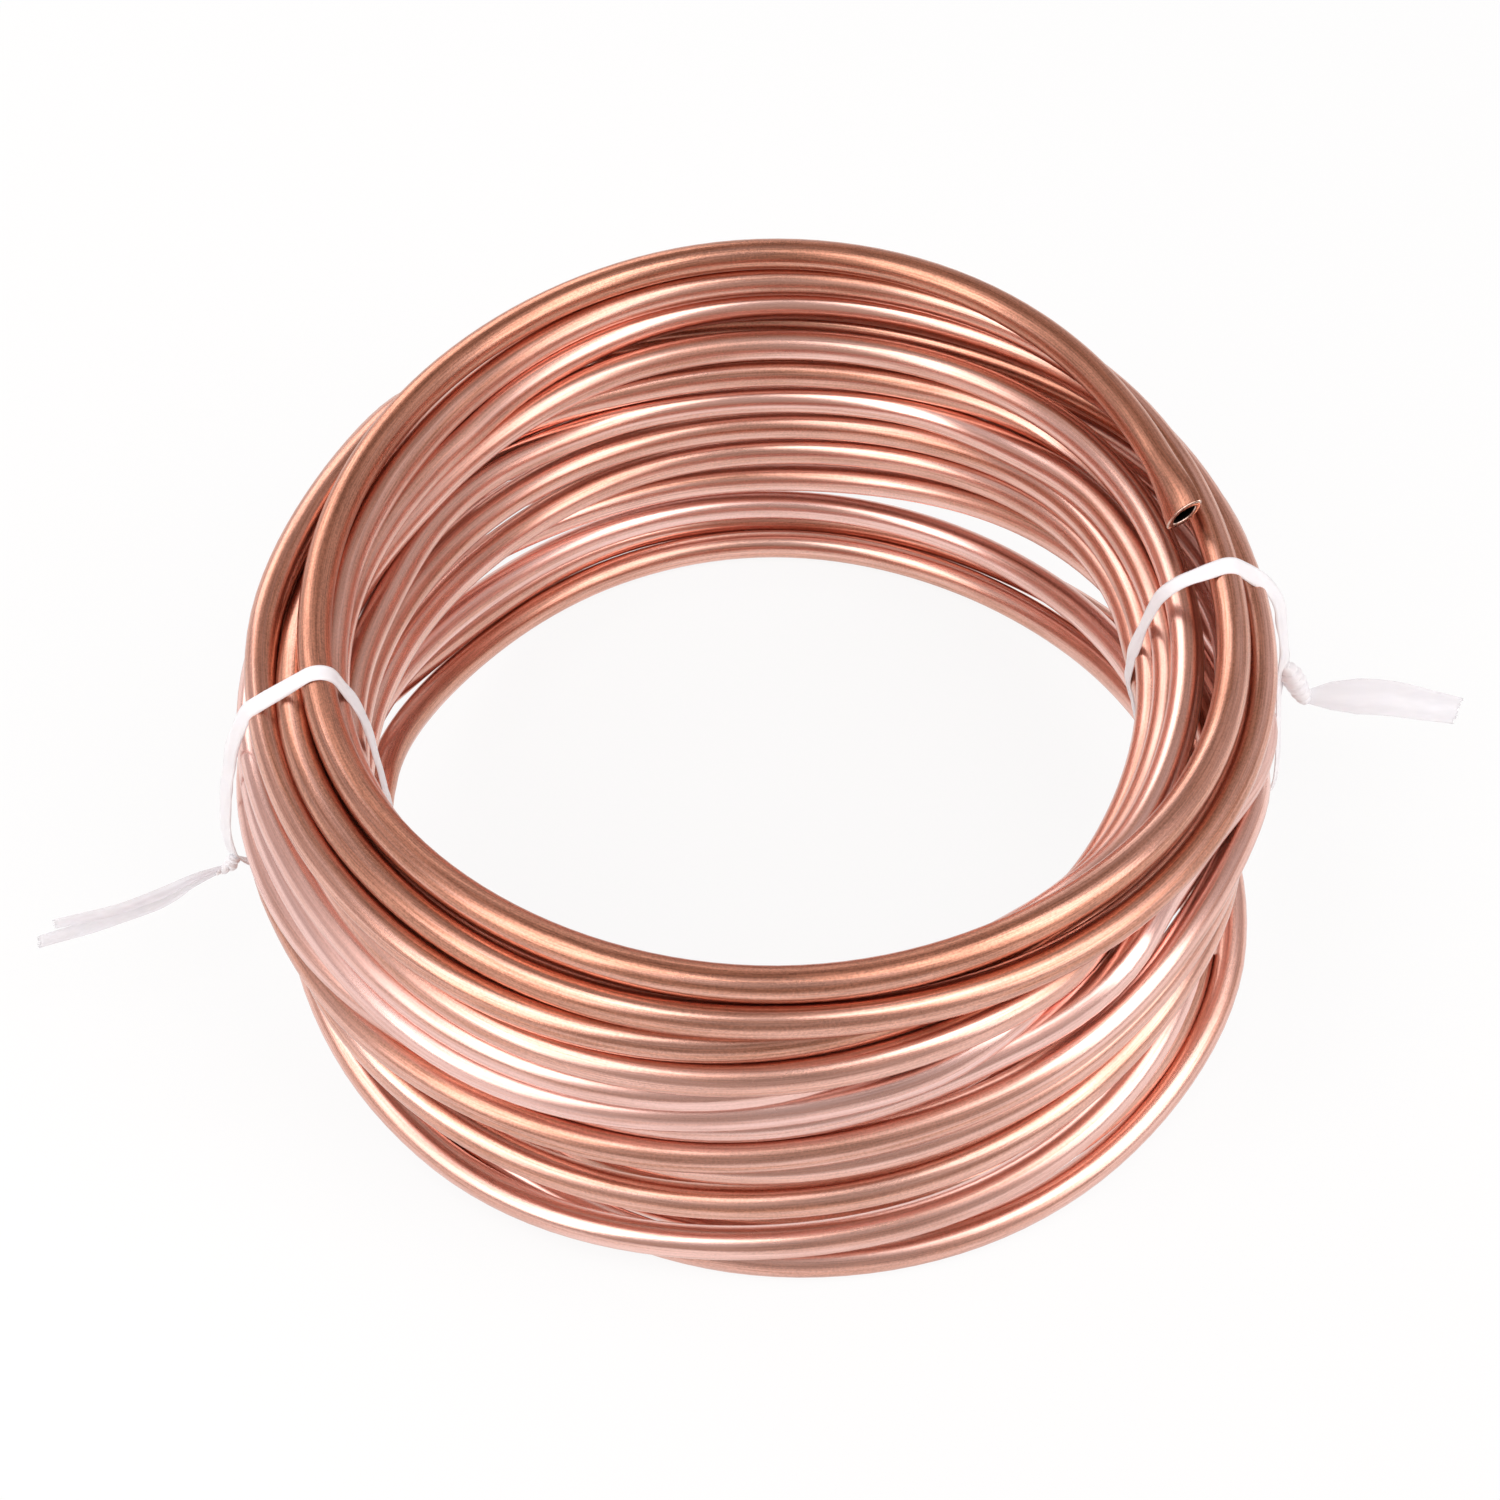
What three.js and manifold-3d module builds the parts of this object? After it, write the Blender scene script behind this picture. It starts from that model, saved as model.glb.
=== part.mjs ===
// A coil of soft copper tube held by two ties of thin plastic film.
// Millimetres, +Z up. The coil lies flat, its axis is the Z axis and it rests on z = 0.
// A clock angle is in degrees, measured from the front (-Y) towards the right (+X).
import * as THREE from 'three';
import { mergeVertices } from 'three/addons/utils/BufferGeometryUtils.js';
import Module from 'manifold-3d';

// ---- Driving dimensions -------------------------------------------------------------------

// The tube
const tubeOutside = 4.76;
const tubeWall = 0.71;

// The coil: turns side by side in columns, one above another in rows
const coilBore = 122.4;
const turnColumns = 3;
const turnRows = 12;
const columnGap = 0.2;
const rowGap = 0.535;

// Where the ties gather the turns, and how far to each side of a tie they stay gathered
const leftTieAngle = 279;
const rightTieAngle = 99;
const tiedHalfAngle = 9;

// How the loose turns lie round the coil, as shares of the coil's height for the lowest and the
// highest turn, and as shares of its width (0 at the bore, 1 at the outside) for the inner and
// the outer turns: at the bottom, along the side and at the top. The shoulder is the share of
// the height over which the side goes over into the bottom or the top.
const shoulderShare = 0.3;
const rightTied = { low: 0.18, high: 0.915, inner: [0, -0.45, 0.03], outer: [0.65, 0.98, 0.5] };
const leftTied = { low: 0.27, high: 0.96, inner: [-0.38, -0.33, -0.02], outer: [0.75, 1.05, 0.4] };
const lay = [
  { clock: 0, low: 0, high: 1, inner: [0.4, 0.07, 0], outer: [0.94, 1, 0.45] },
  { clock: 40, low: 0, high: 0.98, inner: [0.42, -0.15, 0], outer: [1, 0.96, 0.45] },
  { clock: rightTieAngle - tiedHalfAngle, ...rightTied },
  { clock: rightTieAngle + tiedHalfAngle, ...rightTied },
  { clock: 150, low: 0, high: 1, inner: [0.03, 0.05, 0.4], outer: [0.75, 0.95, 0.84] },
  { clock: 180, low: 0, high: 1, inner: [0.05, 0.07, 0.45], outer: [0.7, 1, 0.92] },
  { clock: 212, low: 0, high: 0.99, inner: [-0.03, 0, 0.3], outer: [0.65, 0.95, 0.75] },
  { clock: 240, low: 0.08, high: 0.985, inner: [-0.25, -0.2, 0.03], outer: [0.45, 0.95, 0.5] },
  { clock: leftTieAngle - tiedHalfAngle, ...leftTied },
  { clock: leftTieAngle + tiedHalfAngle, ...leftTied },
  { clock: 330, low: 0, high: 0.99, inner: [0.05, 0.05, 0], outer: [1, 1, 0.45] },
];

// The free end of the tube, which lies on the top turns and is pinched at its mouth
const freeEndStartAngle = 166;
const freeEndRiseAngle = 132;
const freeEndAngle = 106;
const freeEndSeat = 0.6;
const freeEndCrossShare = 0.9;
const pinchLength = 9;
const pinchHeightShare = 0.52;
const pinchWidthShare = 1.34;
const pinchTiltAngle = 55;
const lumenDepth = 14;

// The film ties
const filmWidth = 2.2;
const filmThickness = 0.5;
const filmClearance = 0.45;
const tailReach = 106.5;
const leftKnotHeight = 23;
const leftTailForward = 20;
const leftTailRise = 0;
const leftTailSag = 0.8;
const leftStrandCount = 4;
const leftStrandWidth = 1.3;
const leftFanSpread = 5.5;
const rightKnotHeight = 32;
const rightTailDrop = 9.5;
const rightTailForward = 1;
const rightTailWidth = 4.4;
const neckLength = 7.5;
const neckWidth = 2.4;
const neckThickness = 1.5;
const neckTurns = 1.5;

// ---- Worked out from them -----------------------------------------------------------------

const tubeRadius = tubeOutside / 2;
const boreRadius = coilBore / 2;
const columnPitch = tubeOutside + columnGap;
const rowPitch = tubeOutside + rowGap;
const coilWidth = tubeOutside + (turnColumns - 1) * columnPitch;
const coilHeight = tubeOutside + (turnRows - 1) * rowPitch;

const upward = new THREE.Vector3(0, 0, 1);
const fullTurn = 360;

const wasm = await Module();
wasm.setup();

// ---- Helpers ------------------------------------------------------------------------------

// A point at a distance from the coil's axis, at a clock angle in degrees, at a height.
function pointAt(radius, clock, height) {
  const angle = THREE.MathUtils.degToRad(clock);
  return new THREE.Vector3(radius * Math.sin(angle), -radius * Math.cos(angle), height);
}

// A value that goes smoothly from 0 to 1 as x goes from start to end, whichever is larger.
function ease(x, start, end) {
  const share = THREE.MathUtils.clamp((x - start) / (end - start), 0, 1);
  return share * share * (3 - 2 * share);
}

// A closed mesh as a solid for joining and cutting.
function toSolid(geometry) {
  const bare = geometry.clone();
  bare.deleteAttribute('normal');
  bare.deleteAttribute('uv');
  const merged = mergeVertices(bare, 1e-4);
  return new wasm.Manifold(new wasm.Mesh({
    numProp: 3,
    vertProperties: new Float32Array(merged.attributes.position.array),
    triVerts: new Uint32Array(merged.index.array),
  }));
}

function fromSolid(solid) {
  const { numProp, vertProperties, triVerts } = solid.getMesh();
  const points = [];
  for (let i = 0; i < vertProperties.length; i += numProp) {
    points.push(vertProperties[i], vertProperties[i + 1], vertProperties[i + 2]);
  }
  const geometry = new THREE.BufferGeometry();
  geometry.setAttribute('position', new THREE.Float32BufferAttribute(points, 3));
  geometry.setIndex(Array.from(triVerts));
  geometry.computeVertexNormals();
  return geometry;
}

// A closed skin through a row of outlines with equal numbers of points, capped at both ends.
// Seen along the row, from its first outline, each outline runs anticlockwise.
function loft(outlines) {
  const count = outlines[0].length;
  const last = outlines.length - 1;
  const points = outlines.flat();
  const faces = [];
  for (let row = 0; row < last; row += 1) {
    for (let i = 0; i < count; i += 1) {
      const a = row * count + i;
      const b = row * count + ((i + 1) % count);
      faces.push(a, b + count, b, a, a + count, b + count);
    }
  }
  for (let i = 1; i < count - 1; i += 1) {
    faces.push(0, i, i + 1);
    faces.push(last * count, last * count + i + 1, last * count + i);
  }
  const geometry = new THREE.BufferGeometry().setFromPoints(points);
  geometry.setIndex(faces);
  return geometry;
}

// Outlines along a curve. outlineAt(share) gives a flat outline, as x to the side and y up,
// for a share of the curve's length.
function sweep(curve, steps, outlineAt) {
  const outlines = [];
  for (let step = 0; step <= steps; step += 1) {
    const share = step / steps;
    const middle = curve.getPointAt(share);
    const ahead = curve.getTangentAt(share);
    const side = new THREE.Vector3().crossVectors(ahead, upward).normalize();
    const up = new THREE.Vector3().crossVectors(side, ahead);
    outlines.push(outlineAt(share).map((p) => (
      middle.clone().addScaledVector(side, p.x).addScaledVector(up, p.y)
    )));
  }
  return loft(outlines);
}

// An oval, turned by an angle in radians. A lens value of 1 draws its two sides to points.
function oval(width, height, turn = 0, lens = 0, count = 12) {
  const centre = new THREE.Vector2();
  const outline = [];
  for (let i = 0; i < count; i += 1) {
    const angle = (i / count) * 2 * Math.PI;
    const flatten = 1 - 0.35 * lens * Math.cos(angle) ** 2;
    const x = (width / 2) * Math.cos(angle);
    const y = (height / 2) * Math.sin(angle) * flatten;
    outline.push(new THREE.Vector2(x, y).rotateAround(centre, turn));
  }
  return outline;
}

// ---- The coil -----------------------------------------------------------------------------

// How the turns lie at a clock angle, evenly blended between the stations of the lay.
function layAt(clock) {
  const angle = THREE.MathUtils.euclideanModulo(clock, fullTurn);
  const after = lay.findIndex((station) => station.clock > angle);
  const next = lay[Math.max(after, 0)];
  const previous = after > 0 ? lay[after - 1] : lay[lay.length - 1];
  const span = THREE.MathUtils.euclideanModulo(next.clock - previous.clock, fullTurn);
  const share = ease(THREE.MathUtils.euclideanModulo(angle - previous.clock, fullTurn), 0, span);
  const blend = (from, to) => THREE.MathUtils.lerp(from, to, share);
  return {
    low: blend(previous.low, next.low),
    high: blend(previous.high, next.high),
    inner: previous.inner.map((value, i) => blend(value, next.inner[i])),
    outer: previous.outer.map((value, i) => blend(value, next.outer[i])),
  };
}

// A value along the height from its values at the bottom, along the side and at the top.
function alongHeight([bottom, side, top], share) {
  const towardsBottom = ease(share, shoulderShare, 0);
  const towardsTop = ease(share, 1 - shoulderShare, 1);
  return side + (bottom - side) * towardsBottom + (top - side) * towardsTop;
}

// Where a point of the stacked section lies at a clock angle, as distance from axis and height.
function laidPoint(point, clock) {
  const at = layAt(clock);
  const across = (point.x - boreRadius) / coilWidth;
  const up = point.y / coilHeight;
  const inner = alongHeight(at.inner, up);
  const outer = alongHeight(at.outer, up);
  return new THREE.Vector2(
    boreRadius + coilWidth * THREE.MathUtils.lerp(inner, outer, across),
    coilHeight * THREE.MathUtils.lerp(at.low, at.high, up),
  );
}

// The turned section of the stacked turns: a half-round ridge for each turn on every side.
// Each ridge has a flat facet square to its side, at exactly the tube's outside.
function coilSection() {
  const facet = THREE.MathUtils.degToRad(20);
  const radius = tubeRadius / Math.cos(facet);
  const inner = boreRadius + tubeRadius;
  const outer = inner + (turnColumns - 1) * columnPitch;
  const bottom = tubeRadius;
  const top = bottom + (turnRows - 1) * rowPitch;
  const sides = [
    { facing: 0, start: [outer, bottom], step: [0, rowPitch], count: turnRows },
    { facing: 90, start: [outer, top], step: [-columnPitch, 0], count: turnColumns },
    { facing: 180, start: [inner, top], step: [0, -rowPitch], count: turnRows },
    { facing: 270, start: [inner, bottom], step: [columnPitch, 0], count: turnColumns },
  ];
  const outline = [];
  for (const { facing, start, step, count } of sides) {
    for (let turn = 0; turn < count; turn += 1) {
      const angles = [-20, 20];
      if (turn > 0) angles.unshift(-60);
      if (turn < count - 1) angles.push(60);
      for (const offset of angles) {
        const angle = THREE.MathUtils.degToRad(facing + offset);
        const x = start[0] + turn * step[0] + radius * Math.cos(angle);
        const y = start[1] + turn * step[1] + radius * Math.sin(angle);
        outline.push(new THREE.Vector2(x, y));
      }
    }
  }
  outline.push(outline[0].clone());
  return outline;
}

// The stacked turns, turned about the coil's axis and laid as the loose turns lie.
function woundTurns() {
  const segments = 40;
  const turned = new THREE.LatheGeometry(coilSection(), segments);
  turned.rotateX(Math.PI / 2);
  const position = turned.attributes.position;
  for (let i = 0; i < position.count; i += 1) {
    const radius = Math.hypot(position.getX(i), position.getY(i));
    const clock = THREE.MathUtils.radToDeg(Math.atan2(position.getX(i), -position.getY(i)));
    const laid = laidPoint(new THREE.Vector2(radius, position.getZ(i)), clock);
    const moved = pointAt(laid.x, clock, laid.y);
    position.setXYZ(i, moved.x, moved.y, moved.z);
  }
  return toSolid(turned);
}

// The route of the free end: out of the top turns, then inwards over the gathered turns.
function freeEndRoute() {
  const points = [];
  const stops = 9;
  for (let stop = 0; stop < stops; stop += 1) {
    const share = stop / (stops - 1);
    const clock = THREE.MathUtils.lerp(freeEndStartAngle, freeEndAngle, share);
    const at = layAt(clock);
    const inwards = ease(share, 0, freeEndCrossShare);
    const across = THREE.MathUtils.lerp(at.outer[2], at.inner[2], inwards);
    const radius = boreRadius + coilWidth * across + tubeRadius * (2 * inwards - 1);
    const lift = (tubeOutside - freeEndSeat) * ease(clock, freeEndStartAngle, freeEndRiseAngle);
    points.push(pointAt(radius, clock, coilHeight * at.high - tubeRadius + lift));
  }
  return new THREE.CatmullRomCurve3(points);
}

// How far the tube is pinched, from 0 to 1, at a distance before its mouth.
function pinchAt(beforeMouth) {
  return ease(beforeMouth, pinchLength, 0);
}

// The pinched tube is a lens, whose outer side is the higher one.
function tubeOutline(diameter, pinch) {
  const width = diameter * THREE.MathUtils.lerp(1, pinchWidthShare, pinch);
  const height = diameter * THREE.MathUtils.lerp(1, pinchHeightShare, pinch);
  return oval(width, height, -THREE.MathUtils.degToRad(pinchTiltAngle), pinch);
}

function copperTube() {
  const route = freeEndRoute();
  const length = route.getLength();
  const body = sweep(route, 24, (share) => tubeOutline(tubeOutside, pinchAt((1 - share) * length)));

  const mouth = route.getPointAt(1);
  const ahead = route.getTangentAt(1);
  const lumenStart = route.getPointAt(1 - lumenDepth / length);
  const lumenMiddle = route.getPointAt(1 - lumenDepth / 2 / length);
  const overrun = tubeOutside / 4;
  const lumenRoute = new THREE.CatmullRomCurve3([
    lumenStart,
    lumenMiddle,
    mouth,
    mouth.clone().addScaledVector(ahead, overrun),
  ]);
  const lumenLength = lumenRoute.getLength();
  const lumenWidth = tubeOutside - 2 * tubeWall;
  const lumen = sweep(lumenRoute, 8, (share) => (
    tubeOutline(lumenWidth, pinchAt((1 - share) * lumenLength - overrun))
  ));
  return fromSolid(woundTurns().add(toSolid(body)).subtract(toSolid(lumen)));
}

// ---- The ties -----------------------------------------------------------------------------

// The outline that film takes when it is drawn tight round the turns, at a distance from them.
function tautOutline(clock, distance) {
  const turns = coilSection().map((point) => laidPoint(point, clock));
  const facings = 90;
  const outline = [];
  for (let facing = 0; facing < facings; facing += 1) {
    const angle = (facing / facings) * 2 * Math.PI;
    const outward = new THREE.Vector2(Math.cos(angle), Math.sin(angle));
    const reached = turns.reduce((far, point) => (point.dot(outward) > far.dot(outward) ? point : far));
    outline.push(reached.clone().addScaledVector(outward, distance));
  }
  return outline;
}

// The film loop round the tied turns, in the upright plane through the coil's axis.
function filmLoop(clock) {
  const loop = new THREE.Shape(tautOutline(clock, filmClearance + filmThickness));
  loop.holes.push(new THREE.Path(tautOutline(clock, filmClearance)));
  const band = new THREE.ExtrudeGeometry(loop, { depth: filmWidth, bevelEnabled: false });
  band.translate(0, 0, -filmWidth / 2);
  const outward = pointAt(1, clock, 0);
  const across = new THREE.Vector3().crossVectors(outward, upward);
  band.applyMatrix4(new THREE.Matrix4().makeBasis(outward, upward, across));
  return toSolid(band);
}

// Where the film leaves the loop at a height, in the middle of the film on the outer side.
function knotPoint(clock, height) {
  const outline = tautOutline(clock, filmClearance + filmThickness / 2);
  let radius = 0;
  outline.forEach((start, i) => {
    const end = outline[(i + 1) % outline.length];
    const share = (height - start.y) / (end.y - start.y);
    if (share >= 0 && share <= 1) radius = Math.max(radius, THREE.MathUtils.lerp(start.x, end.x, share));
  });
  return pointAt(radius, clock, height);
}

// The twisted neck between the loop and the tail.
function twistedNeck(start, end) {
  const neck = sweep(new THREE.LineCurve3(start, end), 12, (share) => (
    oval(neckWidth, neckThickness, share * neckTurns * 2 * Math.PI, 0, 10)
  ));
  return toSolid(neck);
}

// A strip of film along a curve, as wide as widthAt says for a share of its length.
function filmStrip(curve, steps, widthAt) {
  const strip = sweep(curve, steps, (share) => oval(widthAt(share), filmThickness, 0, 0, 8));
  return toSolid(strip);
}

function leftTie() {
  const knot = knotPoint(leftTieAngle, leftKnotHeight);
  const tip = new THREE.Vector3(-tailReach, knot.y - leftTailForward, leftKnotHeight + leftTailRise);
  const along = tip.clone().sub(knot);
  const neckEnd = knot.clone().addScaledVector(along.clone().normalize(), neckLength / 2);
  const fan = new THREE.Vector3(-along.y, along.x, 0).normalize();
  let tie = filmLoop(leftTieAngle).add(twistedNeck(knot, neckEnd));
  for (let strand = 0; strand < leftStrandCount; strand += 1) {
    const offset = leftFanSpread * (strand / (leftStrandCount - 1) - 0.5);
    const start = neckEnd.clone().lerp(knot, 0.3);
    const end = tip.clone().addScaledVector(fan, offset);
    end.x = -tailReach;
    const middle = start.clone().lerp(end, 0.5);
    middle.z -= leftTailSag;
    const curve = new THREE.CatmullRomCurve3([start, middle, end]);
    tie = tie.add(filmStrip(curve, 8, () => leftStrandWidth));
  }
  return fromSolid(tie);
}

function rightTie() {
  const knot = knotPoint(rightTieAngle, rightKnotHeight);
  const outward = new THREE.Vector3(1, 0, -1).normalize();
  const neckStart = knot.clone().addScaledVector(outward, neckThickness / 2);
  const neckEnd = knot.clone().addScaledVector(outward, neckLength);
  const tip = new THREE.Vector3(tailReach, knot.y - rightTailForward, knot.z - rightTailDrop);
  const start = neckEnd.clone().addScaledVector(outward, -filmThickness);
  const bend = neckEnd.clone().lerp(tip, 0.25);
  bend.z = tip.z + filmWidth / 2;
  const middle = neckEnd.clone().lerp(tip, 0.6);
  middle.z = tip.z;
  const curve = new THREE.CatmullRomCurve3([start, bend, middle, tip]);
  const widthAt = (share) => THREE.MathUtils.lerp(neckWidth * 0.8, rightTailWidth, ease(share, 0, 0.4));
  const tail = filmStrip(curve, 14, widthAt);
  const tie = filmLoop(rightTieAngle).add(twistedNeck(neckStart, neckEnd)).add(tail);
  return fromSolid(tie);
}

// ---- The assembly -------------------------------------------------------------------------

const copper = new THREE.MeshStandardMaterial({ color: 0xcf8a6e, roughness: 0.32, metalness: 1 });
const film = new THREE.MeshStandardMaterial({ color: 0xf1eef0, roughness: 0.4, metalness: 0 });

function piece(name, geometry, material) {
  const mesh = new THREE.Mesh(geometry, material);
  mesh.name = name;
  return mesh;
}

const copperTubeCoil = new THREE.Group();
copperTubeCoil.add(
  piece('copper_tube', copperTube(), copper),
  piece('tie_left', leftTie(), film),
  piece('tie_right', rightTie(), film),
);

export default copperTubeCoil;
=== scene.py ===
import math

import bpy
import numpy as np
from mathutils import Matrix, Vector


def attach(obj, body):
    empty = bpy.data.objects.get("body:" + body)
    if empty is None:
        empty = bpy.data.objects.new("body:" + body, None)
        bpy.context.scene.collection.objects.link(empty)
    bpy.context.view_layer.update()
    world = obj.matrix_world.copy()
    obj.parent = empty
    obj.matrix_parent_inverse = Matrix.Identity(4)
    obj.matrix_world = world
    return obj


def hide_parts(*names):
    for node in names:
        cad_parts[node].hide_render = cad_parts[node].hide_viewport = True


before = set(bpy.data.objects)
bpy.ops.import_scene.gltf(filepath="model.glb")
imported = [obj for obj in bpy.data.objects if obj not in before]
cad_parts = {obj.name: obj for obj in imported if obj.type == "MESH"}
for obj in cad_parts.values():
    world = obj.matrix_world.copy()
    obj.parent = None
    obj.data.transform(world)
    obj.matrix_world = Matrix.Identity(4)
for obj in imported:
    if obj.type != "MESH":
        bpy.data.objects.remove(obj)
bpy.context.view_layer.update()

# ---------------------------------------------------------------- sizes
# Lengths are in tube diameters unless a name ends in _M, which is in metres.
# A clock angle is in degrees: 0 is the front, 90 the right, seen from above.
# A height in the lay of the turns and in the ties is measured from the top plane.
TUBE_M = 0.00476            # outside diameter of the copper tube
TUBE_LENGTH_M = 7.6
TUBE_RADIUS = 0.5
TUBE_WALL = 0.149
TOP_PLANE = 12.75           # height of the top turn's centre line above the floor
FLOOR_TURN = TUBE_RADIUS - TOP_PLANE    # height of a turn that lies on the floor
OUTER_LIMIT = 15.95         # largest radius that a turn's centre line may have
TURN_GAP = 1.012            # centre distance of two turns that touch

MOUTH_ANGLE = 106.0         # clock angle of the open end
TURN_COUNT = 17.9           # turns from the open end to the hidden end
PER_TURN = 144              # points of the centre line in one turn
STEP_ANGLE = 360 / PER_TURN


# ---------------------------------------------------------------- lines and curves
BEND_EASE = 0.25            # share of a bend that one round of easing takes away
SAME_POINT = 1e-9           # points closer than this count as one
KNOT_SAMPLES = 60           # samples of a curve for each of its knots


def placed(clock, spots):
    """Points from clock angles and (radius, height) pairs."""
    turn = np.radians(clock)
    spots = np.asarray(spots)
    return np.stack([spots[:, 0] * np.sin(turn), -spots[:, 0] * np.cos(turn),
                     spots[:, 1] + TOP_PLANE], 1)


def unit(vectors):
    """The same directions, each one long."""
    return vectors / np.linalg.norm(vectors, axis=1)[:, None]


def smooth_step(share):
    """A share from 0 to 1 that leaves 0 and reaches 1 softly."""
    return share * share * (3 - 2 * share)


def run_length(points):
    """Length along a line from its start to each of its points."""
    return np.concatenate([[0], np.cumsum(np.linalg.norm(np.diff(points, axis=0), axis=1))])


def bends(points, closed=False):
    """How much the line bends at each point; an open line has no bend at its ends."""
    bend = np.roll(points, 1, axis=0) + np.roll(points, -1, axis=0) - 2 * points
    if not closed:
        bend[0] = bend[-1] = 0
    return bend


def eased(points, rounds, closed=False):
    """The points of a line after some rounds of easing its bends."""
    points = points.copy()
    for _ in range(rounds):
        points += BEND_EASE * bends(points, closed)
    return points


def cubic_samples(values, wanted):
    """Values at fractional indices, on a Catmull-Rom curve through all given ones."""
    values = np.asarray(values, dtype=float)
    index = np.clip(np.floor(wanted).astype(int), 0, len(values) - 2)
    t = (np.asarray(wanted) - index)[:, None]
    before = values[np.maximum(index - 1, 0)]
    start, end = values[index], values[index + 1]
    after = values[np.minimum(index + 2, len(values) - 1)]
    return (start + 0.5 * t * (end - before + t * (2 * before - 5 * start + 4 * end - after
            + t * (3 * (start - end) + after - before))))


def even_points(points, step):
    """Evenly spaced points along a line, about one step apart."""
    run = run_length(points)
    keep = np.concatenate([[True], np.diff(run) > SAME_POINT])
    wanted = np.linspace(0, run[-1], max(int(run[-1] / step), 2))
    return np.stack([np.interp(wanted, run[keep], points[keep, i])
                     for i in range(points.shape[1])], 1)


def curve_through(knots, step):
    """Evenly spaced points on a curve through (clock angle, radius, height) knots."""
    knots = np.array(knots)
    samples = np.linspace(0, len(knots) - 1, KNOT_SAMPLES * len(knots))
    return even_points(cubic_samples(placed(knots[:, 0], knots[:, 1:]), samples), step)


def curve_frames(points):
    """Tangent, level side and up vectors at each point of a line."""
    tangent = unit(np.gradient(points, axis=0))
    side = unit(np.cross(tangent, (0, 0, 1)))
    return tangent, side, np.cross(side, tangent)


# ---------------------------------------------------------------- lay of the turns
# The tube is one length. Its turns are lettered from the open end: a, b, c ... r.
# Each station gives, at a clock angle, where turns pass: letters, then the
# (radius, height) of the first and of the last of them, the rest evenly between.
def one(letter, radius, height):
    """A single turn's entry at a station."""
    return (letter, (radius, height), (radius, height))


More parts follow.
